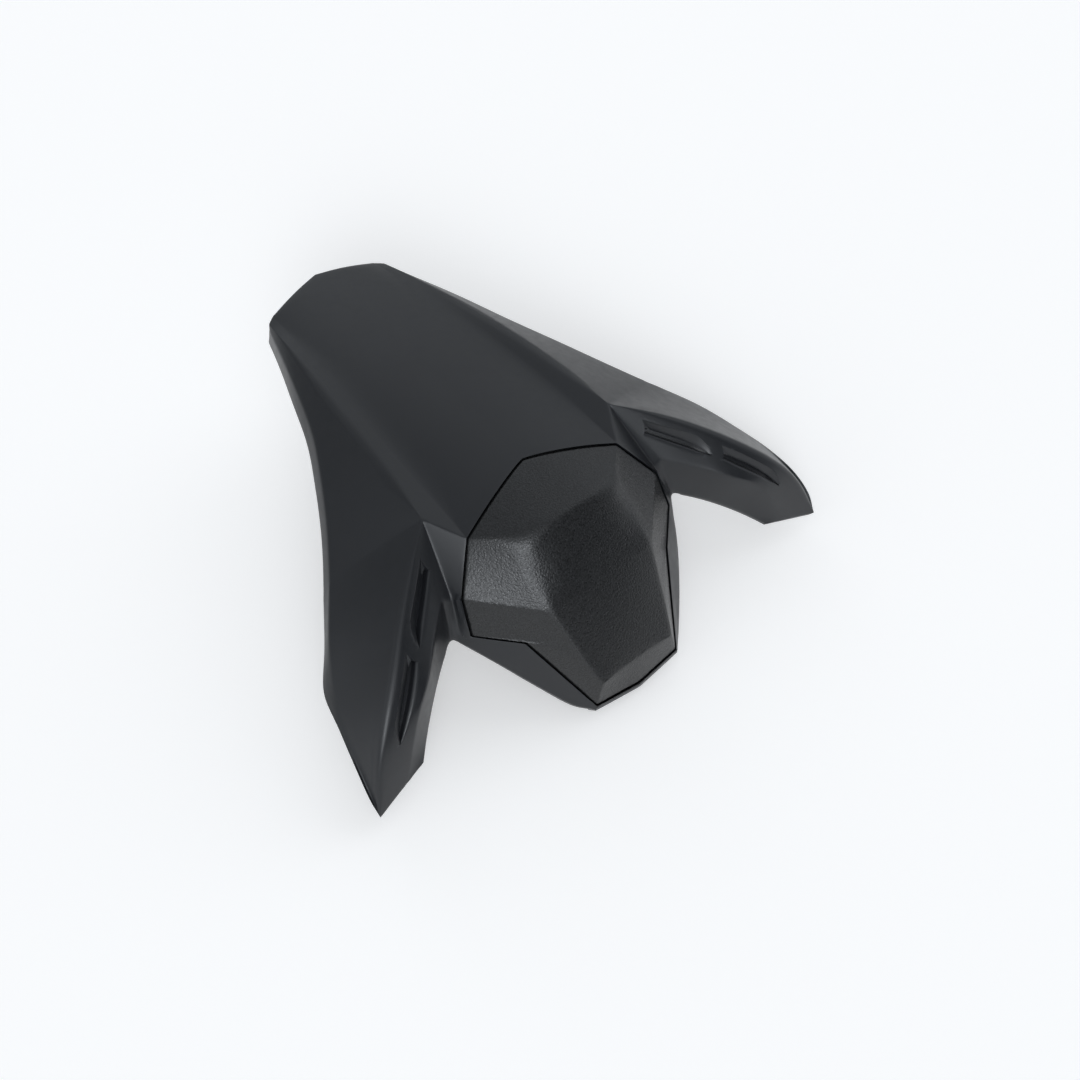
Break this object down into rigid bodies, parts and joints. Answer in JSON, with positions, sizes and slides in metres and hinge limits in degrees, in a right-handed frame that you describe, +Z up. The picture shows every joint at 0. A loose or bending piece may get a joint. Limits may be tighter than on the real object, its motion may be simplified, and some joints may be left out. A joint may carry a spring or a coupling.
{
  "type": "motorcycle seat cowl",
  "caption": "Clip-on hard cover for a motorcycle's passenger seat, with side wings, blind vents, a grained backrest insert and a ribbed pan with lock pin and tongue below.",
  "frame": {"origin": "on the lock pin's axis, 10.2 mm below the face of its flange, midway along its plain stretch", "axes": "+X to the right seen from the rider's seat looking back, +Y towards the tail, +Z up, in the mounted attitude"},
  "size_m": [0.362, 0.3355, 0.1234],
  "materials": {
    "shell_plastic": "satin black, moulded in",
    "grained_plastic": "fine leather-like grain",
    "pan_plastic": "plain moulded",
    "steel": "zinc plated",
    "rubber": "moulded rubber",
    "foam": "closed-cell foam"
  },
  "bodies": {
    "root": {"cowl_shell": "shell_plastic", "backrest_insert": "grained_plastic", "base_pan": "pan_plastic", "lock_pin": "steel", "lock_pin_washer": "steel", "lock_pin_nut": "steel", "rear_tongue": "steel", "tongue_bolts": "steel", "tongue_nuts": "steel", "buffer_front_left": "rubber", "buffer_front_right": "rubber", "buffer_rear_left": "rubber", "buffer_rear_right": "rubber", "wing_pad_left": "foam", "wing_pad_right": "foam", "pan_screws": "steel", "insert_screws": "steel"}
  },
  "joints": []
}
